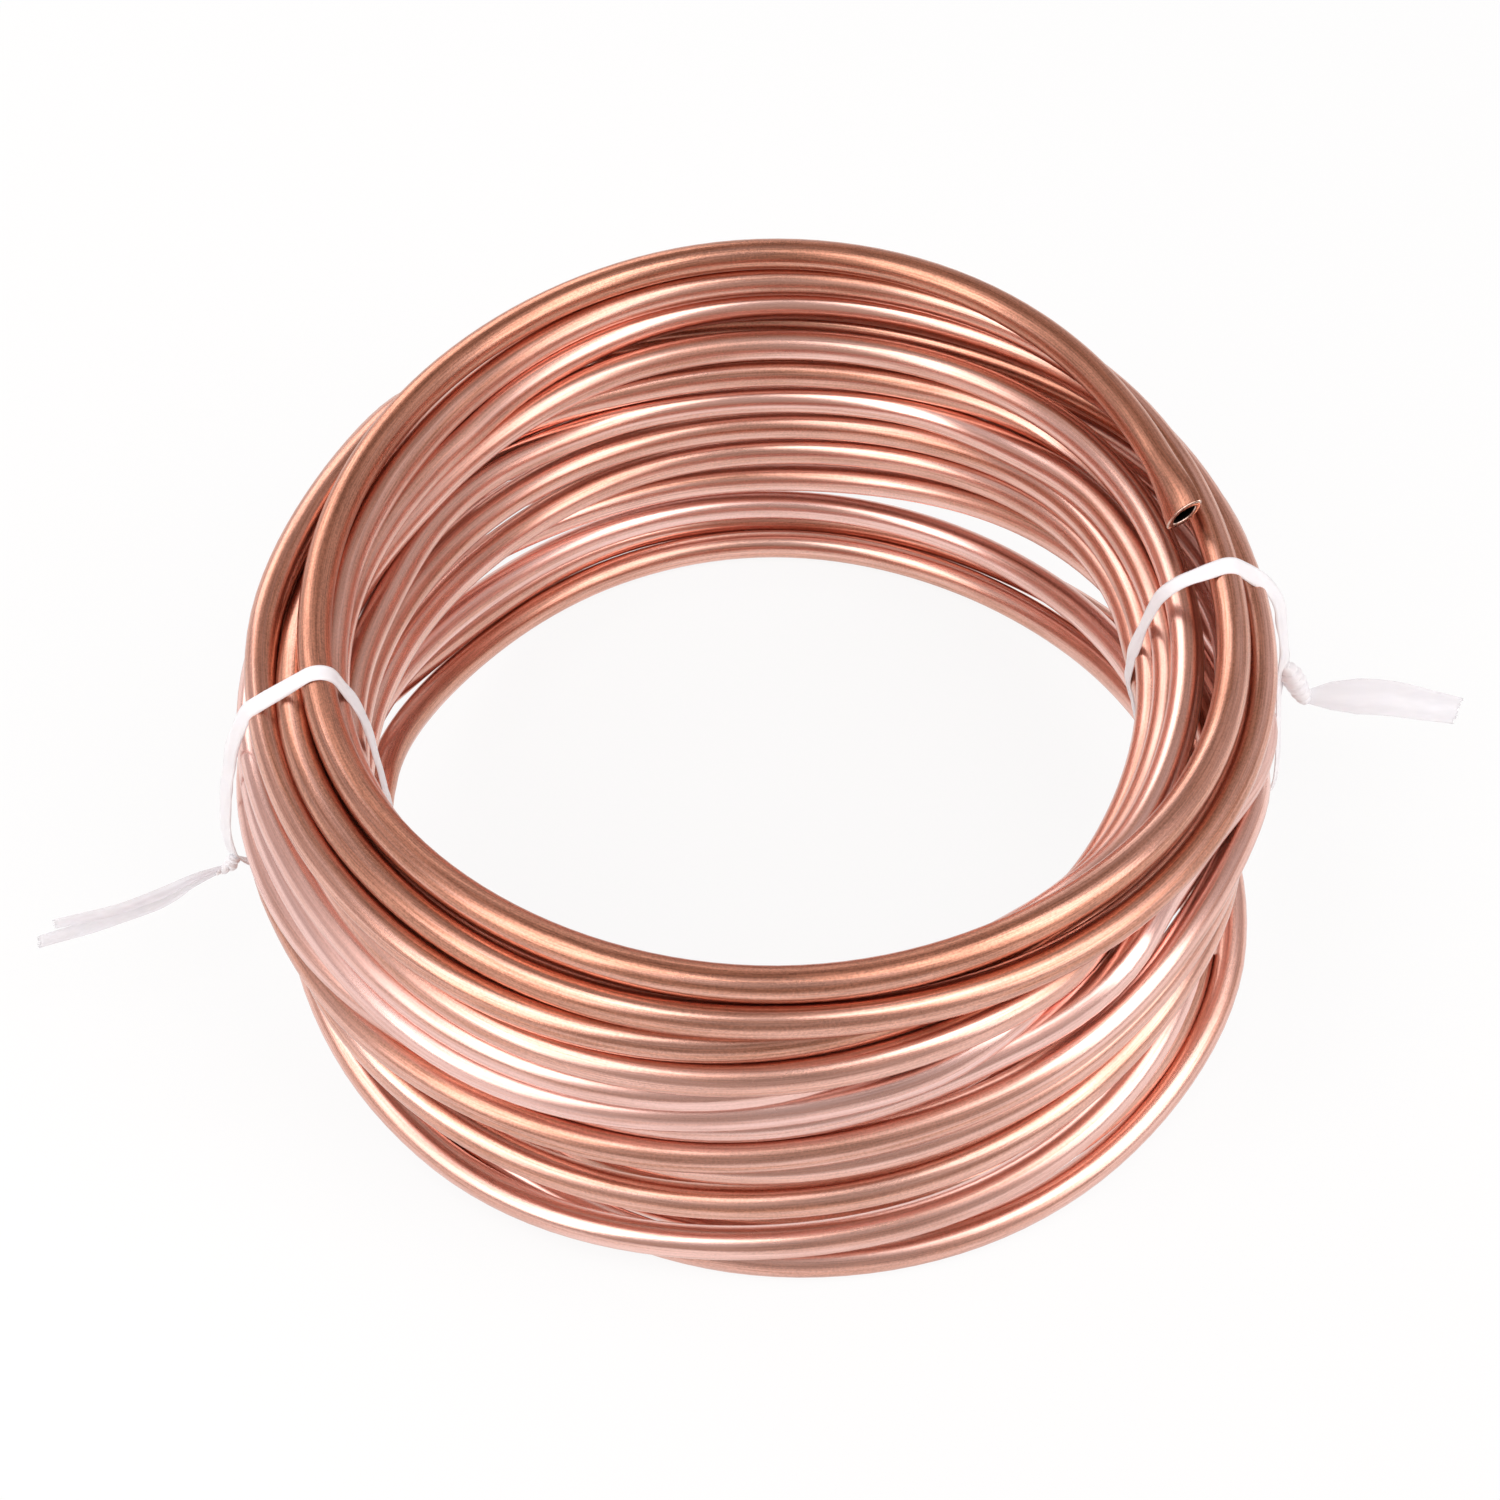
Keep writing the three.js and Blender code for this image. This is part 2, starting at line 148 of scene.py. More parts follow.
LAY = [
    (0, (
        one("a", 13.5, -0.05), ("lk", (14.0, -0.95), (14.15, -1.95)), one("j", 14.6, -2.9),
        ("ihg", (14.5, -3.9), (14.3, -5.95)), ("fo", (14.65, -6.85), (14.55, -7.9)),
        one("e", 14.95, -8.9), ("pq", (15.05, -11.0), (15.15, -12.25)),
        ("bmc", (12.95, -1.05), (13.1, -3.2)), one("n", 13.3, -6.8), one("d", 13.7, -9.9),
        one("r", 13.9, -12.25))),
    (9, (
        one("a", 13.5, -0.1), ("lk", (14.05, -0.95), (13.95, -1.95)), one("j", 14.45, -2.8),
        ("ihg", (14.2, -3.75), (14.05, -5.75)), ("fo", (14.5, -6.65), (14.6, -7.65)),
        one("e", 15.2, -8.5), ("pq", (15.15, -10.8), (15.25, -12.25)),
        ("bmc", (12.95, -1.1), (12.95, -3.25)), one("n", 13.3, -6.7), one("d", 13.3, -8.9),
        one("r", 13.95, -12.0))),
    (22, (
        one("a", 13.42, -0.2), one("l", 14.0, -1.2), ("jhg", (14.3, -2.3), (14.1, -4.75)),
        ("fo", (14.7, -6.05), (14.65, -7.15)), one("e", 15.15, -8.3),
        ("pq", (15.5, -10.3), (15.5, -12.2)), ("ki", (13.3, -2.1), (13.15, -3.3)),
        one("b", 12.95, -1.1), ("mc", (12.4, -2.1), (12.4, -3.2)), one("n", 13.6, -6.7),
        one("d", 13.2, -8.1), one("r", 14.6, -11.3))),
    (33, (
        one("a", 13.35, -0.25), one("l", 14.15, -1.35), one("j", 13.9, -2.45),
        ("hg", (13.6, -3.35), (14.1, -4.3)), ("fo", (14.8, -5.85), (14.7, -6.95)),
        one("e", 15.08, -8.15), ("pq", (15.35, -10.0), (15.7, -12.15)),
        one("k", 13.2, -2.1), one("i", 12.9, -4.1), one("b", 13.05, -1.1),
        ("mc", (12.35, -2.0), (12.3, -3.1)), one("n", 13.6, -6.4), one("d", 13.0, -7.4),
        one("r", 14.95, -10.9))),
    (45, (
        one("a", 13.5, -0.3), one("l", 14.15, -1.5), one("k", 13.5, -2.35),
        one("g", 13.9, -3.8), ("fo", (14.85, -5.5), (14.73, -6.65)), one("e", 14.88, -7.75),
        ("pq", (15.3, -9.6), (15.6, -11.9)), ("jhi", (13.1, -3.3), (13.2, -5.3)),
        ("bmc", (13.2, -1.2), (12.15, -3.05)), ("nd", (12.6, -5.6), (13.2, -6.6)),
        one("r", 15.05, -10.95))),
    (60, (
        one("a", 13.63, -0.6), one("l", 14.35, -1.7), one("k", 13.3, -2.3),
        one("g", 13.4, -3.35), ("foe", (14.42, -4.65), (14.68, -6.85)),
        ("pq", (14.65, -8.85), (15.58, -11.3)), ("ji", (12.5, -3.1), (12.7, -4.2)),
        one("h", 13.3, -4.8), ("bmc", (12.35, -1.9), (11.4, -3.7)), one("n", 11.8, -5.0),
        one("d", 13.45, -6.15), one("r", 14.95, -10.65))),
    (68, (
        one("a", 13.6, -0.7), one("l", 14.42, -1.7), one("k", 13.5, -2.4),
        one("g", 13.6, -3.6), ("foe", (14.5, -4.7), (14.95, -7.0)),
        ("pq", (14.3, -8.85), (15.8, -10.85)), ("ji", (12.7, -3.1), (12.9, -4.2)),
        one("h", 13.5, -4.9), ("bmc", (12.3, -2.0), (11.5, -3.9)), one("n", 11.7, -5.0),
        one("d", 12.95, -6.3), one("r", 14.65, -10.6))),
    (78, (
        one("a", 13.65, -0.8), one("l", 14.6, -1.7), ("kjih", (14.1, -2.75), (14.0, -6.0)),
        ("gf", (14.8, -4.4), (15.2, -5.6)), ("oe", (15.1, -6.8), (14.7, -7.9)),
        one("p", 13.6, -8.6), one("q", 15.48, -10.2), ("bmc", (12.35, -2.2), (11.5, -4.1)),
        ("nd", (11.7, -5.2), (12.1, -6.4)))),
    (99, (
        one("a", 13.78, -1.35), ("lkj", (14.75, -2.0), (15.3, -4.1)),
        ("ihg", (15.4, -5.2), (15.35, -7.3)), one("f", 14.7, -8.2), one("e", 13.5, -8.6),
        one("p", 12.6, -7.9), one("q", 12.8, -9.1), ("bmc", (12.75, -2.35), (11.95, -4.3)),
        ("nd", (12.1, -5.4), (12.3, -6.5)), one("o", 13.4, -6.8))),
    (112, (
        one("a", 13.15, -0.35), one("b", 14.2, -1.1), one("m", 14.8, -1.9),
        ("lkj", (15.7, -2.65), (15.75, -4.8)), ("ihg", (15.6, -6.0), (15.1, -8.2)),
        one("c", 12.95, -2.2), ("nd", (12.5, -3.3), (12.3, -4.4)), one("o", 12.3, -5.6),
        one("e", 13.6, -4.3), one("p", 13.2, -6.6), one("q", 13.0, -8.9),
        one("f", 14.1, -9.2), one("r", 13.1, -10.2))),
    (131, (
        one("a", 13.95, -0.1), one("b", 14.85, -0.95), one("m", 15.4, -1.8),
        ("lkjihg", (15.65, -2.8), (15.4, -8.4)), one("c", 13.6, -2.4), one("e", 14.2, -3.9),
        ("ndop", (13.1, -3.6), (13.4, -7.0)), one("q", 13.65, -10.2),
        one("f", 14.25, -11.1), one("r", 13.5, -11.85))),
    (150, (
        one("a", 14.92, 0), ("bm", (15.1, -1.0), (15.1, -2.0)),
        ("lkjihg", (15.2, -3.1), (15.2, -9.2)), ("cendop", (13.9, -2.6), (13.35, -7.75)),
        one("q", 13.95, -10.6), one("f", 14.5, -11.7), one("r", 13.65, -12.2))),
    (168, (one("p", 13.5, -8.8), one("q", 13.88, -10.5))),
    (180, (
        one("a", 15.3, 0), ("bm", (15.1, -0.95), (15.05, -1.9)),
        ("lkjihg", (15.1, -2.95), (15.05, -10.0)), one("f", 14.6, -12.2),
        ("cendop", (13.6, -2.6), (13.6, -8.9)), one("q", 13.85, -10.5), one("r", 13.6, -12.2))),
    (204, (
        one("a", 14.8, -0.15), ("bm", (14.6, -1.15), (14.45, -2.2)),
        ("lkjihg", (15.1, -3.1), (15.1, -9.2)), one("f", 14.1, -11.5),
        ("cendop", (13.6, -2.8), (13.5, -8.85)), one("q", 13.5, -10.2), one("r", 13.4, -12.2))),
    (219, (
        one("a", 14.15, -0.15), one("l", 14.8, -1.5), one("k", 15.0, -2.5),
        ("bm", (13.7, -1.15), (13.4, -2.15)), ("jihg", (15.25, -3.6), (15.1, -8.4)),
        one("f", 13.5, -11.3), one("c", 13.3, -3.15), one("e", 14.2, -4.3),
        ("ndo", (13.2, -4.3), (12.95, -7.9)), one("p", 13.45, -8.8),
        one("q", 13.0, -9.9), one("r", 13.0, -12.15))),
    (231, (
        one("a", 13.85, -0.15), one("l", 14.15, -2.0), one("k", 14.5, -1.05),
        ("bm", (13.2, -1.1), (12.9, -2.1)), ("jihg", (15.2, -2.6), (15.2, -7.2)),
        one("f", 13.1, -11.0), one("c", 12.95, -3.15), one("e", 14.2, -4.4),
        ("ndo", (12.95, -4.3), (12.6, -7.5)), one("p", 13.7, -8.3),
        one("q", 12.75, -9.5), one("r", 12.75, -12.05))),
    (247, (
        one("a", 13.55, -0.2), one("l", 14.0, -1.75), one("k", 14.35, -0.85),
        ("bm", (12.95, -1.15), (12.8, -2.2)), ("jihg", (15.1, -2.4), (15.2, -6.6)),
        one("f", 13.1, -10.1), one("c", 12.75, -3.3), one("e", 14.2, -4.5),
        ("ndo", (12.5, -4.1), (12.2, -6.7)), one("p", 13.9, -7.9),
        one("q", 12.8, -8.8), one("r", 12.4, -10.9))),
    (262, (
        one("a", 13.35, -0.4), one("l", 14.0, -1.75), one("k", 14.5, -1.05),
        ("bm", (12.95, -1.45), (13.1, -2.5)), ("jihg", (15.1, -2.3), (15.5, -6.3)),
        one("f", 13.7, -9.4), one("c", 13.0, -3.5), one("e", 14.3, -4.8),
        ("ndo", (12.35, -3.4), (12.0, -5.9)), one("p", 14.2, -7.8),
        one("q", 13.0, -8.2), one("r", 12.0, -9.2))),
    (279, (
        one("a", 13.2, -0.75), one("l", 14.15, -1.2), one("k", 15.0, -1.8),
        one("b", 12.95, -1.6), ("mndo", (12.95, -2.65), (12.8, -5.8)),
        ("ihg", (15.75, -2.9), (16.0, -5.2)),
        one("j", 14.4, -2.6), one("f", 15.6, -6.6), one("c", 13.95, -3.7),
        one("e", 14.4, -6.6), one("p", 14.9, -8.0),
        one("q", 13.6, -7.8), one("r", 12.4, -7.1))),
    (292, (
        one("a", 13.25, -0.55), ("lk", (14.15, -1.1), (14.9, -1.85)), one("j", 14.65, -2.85),
        ("ih", (15.25, -3.45), (15.5, -4.6)), ("gfe", (15.95, -5.75), (15.8, -8.2)),
        ("bmndo", (12.95, -1.55), (12.9, -5.8)), one("c", 13.9, -3.8),
        one("p", 15.5, -10.2), one("q", 13.9, -9.4), one("r", 12.5, -8.9))),
    (305, (
        one("a", 13.33, -0.4), ("lk", (14.2, -0.95), (14.85, -1.85)), one("j", 14.6, -2.85),
        ("ih", (15.0, -3.75), (15.2, -4.85)), ("gfe", (15.85, -6.0), (15.6, -8.5)),
        ("bmc", (13.0, -1.5), (13.1, -3.6)), one("n", 13.0, -5.0), one("d", 12.9, -7.0),
        one("o", 13.5, -7.6), one("p", 15.5, -11.8),
        one("q", 14.4, -11.2), one("r", 13.1, -11.2))),
    (322, (
        one("a", 13.35, -0.2), ("lk", (14.0, -1.2), (14.68, -2.15)), one("j", 14.9, -3.15),
        ("ih", (15.2, -4.2), (15.5, -5.35)), one("f", 15.45, -6.9), one("e", 15.35, -8.9),
        one("g", 14.5, -6.25), one("o", 14.2, -8.15), ("bmc", (12.95, -1.3), (13.1, -3.5)),
        one("n", 13.3, -6.6), one("d", 13.4, -9.4),
        one("p", 15.25, -12.0), ("qr", (14.4, -12.2), (13.2, -12.2)))),
    (330, (
        one("a", 13.35, -0.15), ("lk", (14.15, -1.1), (14.7, -2.05)), one("j", 15.0, -3.05),
        ("ih", (15.15, -4.15), (15.4, -5.2)), one("f", 15.25, -6.75), one("e", 15.4, -9.0),
        one("g", 14.4, -6.15), one("o", 14.2, -8.3), ("bmc", (12.95, -1.2), (13.1, -3.4)),
        one("n", 13.3, -7.0), one("d", 13.7, -10.3),
        one("p", 15.2, -12.0), ("qr", (14.4, -12.25), (13.2, -12.25)))),
    (341, (
        one("a", 13.4, -0.1), ("lkj", (14.2, -0.9), (14.95, -2.75)),
        ("ih", (14.95, -3.8), (15.15, -4.8)), one("g", 14.75, -5.75), one("f", 15.2, -6.75),
        one("o", 14.25, -8.2), one("e", 15.2, -9.15), ("bmc", (12.95, -1.1), (13.1, -3.3)),
        one("n", 13.3, -7.2), one("d", 13.9, -10.6),
        one("p", 15.27, -11.6), ("qr", (14.55, -12.25), (13.5, -12.25)))),
    (351, (
        one("a", 13.5, -0.08), ("lk", (14.15, -0.9), (14.35, -1.9)), one("j", 14.85, -2.8),
        ("ihg", (14.8, -3.85), (14.5, -5.85)), ("fo", (14.9, -6.8), (14.75, -7.8)),
        one("e", 14.9, -9.3), ("bmc", (12.95, -1.05), (13.1, -3.25)),
        one("n", 13.3, -7.0), one("d", 13.9, -10.45),
        ("pq", (15.2, -11.25), (15.0, -12.25)), one("r", 13.85, -12.25))),
]


# ---------------------------------------------------------------- settling of the turns
LAY_ROUNDS = 40             # rounds of easing that round off the lay at its stations
# Settling is in two parts: rounds, pull back to the lay, and how much bends are eased.
SETTLING = ((560, 0.02, 0.2), (140, 0.004, 0.05))
SETTLING_PUSH = 0.55        # share of its half of an overlap that a turn moves in a round
STIFFNESS = 0.2             # how far a round evens out the bends along the tube
LAST_ROUNDS = 120           # rounds at the end that only push the turns apart
LAST_PUSH = 0.5
LEAST_DISTANCE = 1e-3       # keeps two turns on one spot from a division by nothing


def laid_turns():
    """Clock angle and (radius, height) all along the tube, before the turns are pushed apart."""
    angles = MOUTH_ANGLE + np.arange(round(TURN_COUNT * PER_TURN)) * STEP_ANGLE
    known = {}
    for clock, runs in LAY:
        for letters, first, last in runs:
            for number, letter in enumerate(letters):
                share = number / max(len(letters) - 1, 1)
                turn = ord(letter) - ord("a") + (1 if clock < MOUTH_ANGLE else 0)
                known[clock + 360 * turn] = [f + (l - f) * share for f, l in zip(first, last)]
    stations = np.array(sorted(known))
    values = np.array([known[s] for s in stations])
    lay = np.stack([np.interp(angles, stations, values[:, i]) for i in (0, 1)], 1)
    return angles, eased(lay, LAY_ROUNDS)


def pushed_apart(path, share):
    """How far each point moves so that the turns at its clock angle overlap less."""
    turns = math.ceil(len(path) / PER_TURN)
    grid = np.full((turns * PER_TURN, 2), np.nan)
    grid[:len(path)] = path
    grid = grid.reshape(turns, PER_TURN, 2)
    first, second = np.triu_indices(turns, 1)
    offset = grid[first] - grid[second]
    distance = np.sqrt((offset ** 2).sum(-1))
    short = np.where(distance < TURN_GAP,
                     (TURN_GAP - distance) / np.maximum(distance, LEAST_DISTANCE) / 2, 0)
    push = np.nan_to_num(offset) * np.nan_to_num(short)[..., None]
    moved = np.zeros_like(grid)
    np.add.at(moved, first, push)
    np.add.at(moved, second, -push)
    return moved.reshape(-1, 2)[:len(path)] * share


def hold_inside(path):
    """Keep the path within the outer limit and above the floor."""
    path[:, 0] = np.minimum(path[:, 0], OUTER_LIMIT)
    path[:, 1] = np.maximum(path[:, 1], FLOOR_TURN)


def wound_tube():
    """Clock angles and (radius, height) of the tube: turns evened out, none through another."""
    angles, lay = laid_turns()
    path = lay.copy()
    for rounds, pull, ease in SETTLING:
        for _ in range(rounds):
            path += pushed_apart(path, SETTLING_PUSH)
            path += pull * (lay - path)
            bend = bends(path)
            path += ease * (BEND_EASE * bend - STIFFNESS * bends(bend))
            hold_inside(path)
    for _ in range(LAST_ROUNDS):
        path += pushed_apart(path, LAST_PUSH)
        hold_inside(path)
    return angles, path


# ---------------------------------------------------------------- meshes
def smooth_object(name, vertices, faces, materials, face_materials=None, attributes=()):
    """A smooth-shaded object; attributes are (name, one vector for each vertex) pairs."""
    mesh = bpy.data.meshes.new(name)
    mesh.from_pydata([tuple(v) for v in vertices], [], faces)
    for key, values in attributes:
        layer = mesh.attributes.new(key, "FLOAT_VECTOR", "POINT")
        layer.data.foreach_set("vector", np.asarray(values, dtype=np.float32).ravel())
    for material in materials:
        mesh.materials.append(material)
    mesh.polygons.foreach_set("use_smooth", [True] * len(mesh.polygons))
    if face_materials is not None:
        mesh.polygons.foreach_set("material_index", face_materials)
    mesh.update()
    made = bpy.data.objects.new(name, mesh)
    bpy.context.collection.objects.link(made)
    return made


def ring_turns(sides):
    """Angles of the vertices round a ring."""
    return np.arange(sides) * 2 * math.pi / sides


def ring_faces(rings, sides, closed=False):
    """Faces from each ring of vertices to the next, and from the last to the first if closed."""
    faces = []
    for ring in range(rings if closed else rings - 1):
        first, second = ring * sides, (ring + 1) % rings * sides
        faces.extend((first + i, first + (i + 1) % sides, second + (i + 1) % sides, second + i)
                     for i in range(sides))
    return faces


def end_faces(rings, sides):
    """One face over the first ring and one over the last."""
    last = (rings - 1) * sides
    return [tuple(range(sides))[::-1], tuple(range(last, last + sides))]


# ---------------------------------------------------------------- copper tube
TUBE_SIDES = 24
PINCH_LENGTH = 2.6          # length over which the open end is flattened
PINCH_WIDTH = 1.45          # width and height of the flattened mouth
PINCH_HEIGHT = 0.60
PINCH_CORNERS = 0.45        # how sharply its two flat sides meet, 0 as in an ellipse
PINCH_EDGE_WALL = 0.4       # share that the wall gains where they meet,
PINCH_FLAT_WALL = 0.3       # and in the flat sides
PINCH_TILT = 128.0          # turn of its long side from inward, in degrees
LUMEN_DEPTH = 8.0           # how deep each end is hollow
LUMEN_STRIDE = 3            # points of the centre line from one inner ring to the next
END_LENGTH = LUMEN_DEPTH + 1    # length near each end in which the rings are close together
END_STEP = 0.12             # their spacing there
RIM_ROUND = 0.03            # rounding of the cut edge
# INSIDE faces take near-black copper, which is painted shade in the bore.
OUTSIDE, INSIDE, CUT = 0, 1, 2          # the tube's materials, in order


def centre_line(angles, path):
    """Points of the tube's centre line, closer together near the ends."""
    points = placed(angles, path)
    spacing = np.linalg.norm(np.diff(points, axis=0), axis=1).mean()
    reach = END_LENGTH / spacing
    last = len(points) - 1
    near = np.arange(0, reach, END_STEP / spacing)
    wanted = [near, np.arange(math.ceil(reach), last - reach), last - near[::-1]]
    return cubic_samples(points, np.concatenate(wanted))


def section(size, pinch):
    """Outline of the tube's section, in side and up directions, flattened by pinch (0 to 1)."""
    turn = ring_turns(TUBE_SIDES)
    inset = (TUBE_RADIUS - size) * pinch
    half_width = size * (1 + (PINCH_WIDTH - 1) * pinch) - PINCH_EDGE_WALL * inset
    half_height = size * (1 + (PINCH_HEIGHT - 1) * pinch) - PINCH_FLAT_WALL * inset
    across = half_width * np.cos(turn)
    thick = half_height * np.sin(turn) * np.abs(np.sin(turn)) ** (PINCH_CORNERS * pinch)
    tilt = math.radians(PINCH_TILT)
    return (across * math.cos(tilt) - thick * math.sin(tilt),
            across * math.sin(tilt) + thick * math.cos(tilt))


def tube_rings(length):
    """The tube's rings from inside the open end, over its outside, to inside the hidden end.

    Each is the point that it is at, its radius, its shift along the tube, and the material
    of the faces from the ring before it."""
    bore = TUBE_RADIUS - TUBE_WALL
    last = len(length) - 1
    first_deep, last_deep = np.searchsorted(length, (LUMEN_DEPTH, length[-1] - LUMEN_DEPTH))
    rings = [(i, bore, 0, INSIDE) for i in range(first_deep, 0, -LUMEN_STRIDE)]
    rings += [(0, bore, RIM_ROUND, INSIDE), (0, bore + RIM_ROUND, 0, CUT),
              (0, TUBE_RADIUS - RIM_ROUND, 0, CUT), (0, TUBE_RADIUS, RIM_ROUND, CUT)]
    rings += [(i, TUBE_RADIUS, 0, OUTSIDE) for i in range(1, last)]
    rings += [(last, TUBE_RADIUS, -RIM_ROUND, OUTSIDE), (last, TUBE_RADIUS - RIM_ROUND, 0, CUT),
              (last, bore + RIM_ROUND, 0, CUT), (last, bore, -RIM_ROUND, CUT)]
    rings += [(i, bore, 0, INSIDE) for i in range(last - LUMEN_STRIDE, last_deep, -LUMEN_STRIDE)]
    return rings


def make_tube(angles, path, materials):
    """The copper tube, with the way along and round it kept in metres for its textures."""
    points = centre_line(angles, path)
    tangent, side, up = curve_frames(points)
    length = run_length(points)
    pinch = smooth_step(np.maximum(0, 1 - length / PINCH_LENGTH))
    turn = ring_turns(TUBE_SIDES)
    around = np.stack([np.cos(turn), np.sin(turn)], 1) * TUBE_M / 2
    rings = tube_rings(length)
    vertices, lengthways = [], []
    for i, size, shift, _ in rings:
        right, high = section(size, pinch[i])
        centre = points[i] + tangent[i] * shift
        vertices.extend((centre - np.outer(right, side[i]) + np.outer(high, up[i])) * TUBE_M)
        lengthways.extend((length[i] * TUBE_M, *spot) for spot in around)
    faces = ring_faces(len(rings), TUBE_SIDES) + end_faces(len(rings), TUBE_SIDES)
    face_materials = [material for *_, material in rings[1:] for _ in range(TUBE_SIDES)]
    # The caps deep inside both ends are near black too: painted shade where the hollow goes on.
    face_materials += [INSIDE, INSIDE]
    return smooth_object("copper_tube_wound", vertices, faces, materials, face_materials,
                         [("lengthways", lengthways)])


# ---------------------------------------------------------------- film ties
FILM_LIFT = 0.07            # film's middle above the turns that it lies on
FILM_THICKNESS = 0.07

HULL_SIDES = 720            # directions in which a loop's outline is measured
OUTLINE_EASING = 30         # rounds that round off a loop's outline
OUTLINE_PUSHES = 40         # rounds that push it off the turns
LOOP_STEP = 0.09            # spacing of the points along a loop
LOOP_COLUMNS = 9            # points across a loop's film
LOOP_CROWN = 0.3            # rise of a loop's middle, in shares of its thickness
LOOP_EDGE = 0.7             # share of its thickness that a loop loses at its edges
LOOP_EDGE_POWER = 6         # the higher, the closer to its edges it gets thinner
LOOP_FOLD = 0.02            # height of its random folds
LOOP_WAVER = 0.05           # share of its width by which it varies
LOOP_TWIST = 0.1            # random twist, in radians
LOOP_NARROWING = 0.4        # share of its width that it loses where it swings
# Random values along a loop: the points from one to the next, and those in which they fade
# out at its start and end; for its width and twist, and for its folds.
WAVE_SPACING, WAVE_FADE = 9, 10
FOLD_SPACING, FOLD_FADE = 6, 12
SWING_FALL = 3.4            # drop in which a swing grows to its full reach
SWING_RADIUS = 14.6         # radius outside which a loop swings
TURN_EASING = 60            # rounds that round off the twist of a loop's steep parts

NECK_STEP = 0.022           # spacing of the rings along a neck
NECK_SIDES = 22
NECK_CORE = 0.55            # share of a neck's radius that its ridge stands on
RIDGE_POWER = 0.5           # the lower, the broader the ridge and the sharper its groove

TAIL_STEP = 0.07            # spacing of the sections along a tail
TAIL_COLUMNS = 33           # points across a tail's film
TAIL_THICKNESS = 0.024
PLEAT_HEIGHT = 0.03
# Two waves make the pleats: height, waves to a fold, and how far a drift moves each.
PLEAT_WAVES = ((1.0, 1.0, 1.3), (0.5, 1.7, 2.0))
PLEAT_AT_KNOT = 0.35        # share of a pleat's height where the tail leaves its knot
PLEAT_RUN = 1 / 3           # share of the tail in which its pleats grow to their full height
DRIFT_KNOTS = 7             # knots of the slow drift of the pleats along a tail
FRAY = 0.14                 # longest thread at a tail's end

# A loop's slack spots, (radius, height), hold the film off the turns. Lean skews the loop
# with its height. Swing moves the outer part below a height towards the front, by a reach;
# the left loop's height is under the floor, so that nothing swings. Turned twists the steep
# outer and inner parts, in radians, so that their flat side shows.
RIGHT_LOOP = {
    "clock": 97.3, "width": 0.56, "lean": 0.0, "swing": (-5.9, 2.0), "turned": (0.8, 0.1),
    "slack": ((12.45, -1.7), (12.0, -3.9), (12.05, -5.6), (15.05, -2.15), (15.4, -3.2),
              (15.9, -5.6), (15.6, -9.2), (13.4, -10.9)),
    "seed": 11}
LEFT_LOOP = {
    "clock": 281.3, "width": 0.5, "lean": 0.06, "swing": (-20.0, 0.0), "turned": (-0.7, -0.3),
    "slack": ((12.7, -2.4), (12.5, -5.4), (15.5, -2.9), (16.05, -5.3), (16.35, -7.2),
              (16.35, -8.6)),
    "seed": 31}

# Knots of necks and tails are (clock angle, radius, height). Radii and widths are given
# at even shares of the length, and a twist, in radians, is that of the whole tail.
RIGHT_NECK = {
    "knots": ((97.3, 16.45, -5.55), (97.3, 16.95, -6.45), (97.2, 17.45, -7.45)),
    "radii": (0.16, 0.36, 0.37, 0.34, 0.30, 0.17), "wraps": 6}
LEFT_NECK = {
    "knots": ((281.2, 16.85, -8.45), (281.4, 17.05, -8.75), (281.9, 17.5, -8.8)),
    "radii": (0.2, 0.24, 0.2, 0.15, 0.1), "wraps": 3}
RIGHT_TAIL = {
    "knots": ((97.2, 17.3, -7.2), (96.6, 18.5, -7.1), (96.2, 20.0, -7.25),
              (96.0, 21.4, -7.7), (96.0, 22.4, -8.1)),
    "widths": (0.35, 0.9, 1.15, 1.15, 1.1, 1.0, 0.92),
    "folds": 1.1, "facing": (0.05, -0.62, 0.78), "twist": 0.35, "seed": 23}
LEFT_LONG_TAIL = {
    "knots": ((281.4, 17.1, -8.8), (282.6, 18.2, -8.8), (283.3, 19.0, -9.0),
              (284.4, 20.4, -9.0), (285.2, 21.6, -8.85), (286.2, 22.9, -8.5)),
    "widths": (0.12, 0.3, 0.5, 0.4, 0.45, 0.4),
    "folds": 0.8, "facing": (0.1, -0.62, 0.78), "twist": -0.5, "seed": 41}
LEFT_SHORT_TAIL = {
    "knots": ((281.4, 17.1, -8.72), (282.5, 18.1, -8.6), (283.4, 19.3, -8.75),
              (284.6, 20.7, -8.55), (285.8, 22.3, -8.0)),
    "widths": (0.1, 0.25, 0.35, 0.32, 0.34, 0.3),
    "folds": 0.7, "facing": (0.0, -0.55, 0.83), "twist": 0.4, "seed": 47}


def turns_at(angles, path, clock):
    """(radius, height) of every turn that passes a clock angle."""
    passing = np.arange(clock, angles[-1], 360)
    passing = passing[passing >= angles[0]]
    return np.stack([np.interp(passing, angles, path[:, i]) for i in (0, 1)], 1)


def hull_loop(spots, reach):
    """A closed outline round circles of radius reach, in evenly spaced points from the top."""
    turn = math.pi / 2 - np.linspace(0, 2 * math.pi, HULL_SIDES + 1)
    normal = np.stack([np.cos(turn), np.sin(turn)], 1)
    outline = spots[np.argmax(spots @ normal.T, axis=0)] + normal * reach
    return even_points(outline, LOOP_STEP)[:-1]


def loop_outline(turns, slack):
    """A loop's (radius, height) outline round the turns and its slack spots, off the turns."""
    reach = TUBE_RADIUS + FILM_LIFT
    outline = eased(hull_loop(np.concatenate([turns, slack]), reach), OUTLINE_EASING, closed=True)
    for _ in range(OUTLINE_PUSHES):
        offset = outline[:, None] - turns[None]
        distance = np.linalg.norm(offset, axis=2)[..., None]
        outline += (offset / distance * np.maximum(reach - distance, 0)).sum(1)
        outline = eased(outline, 1, closed=True)
    return outline


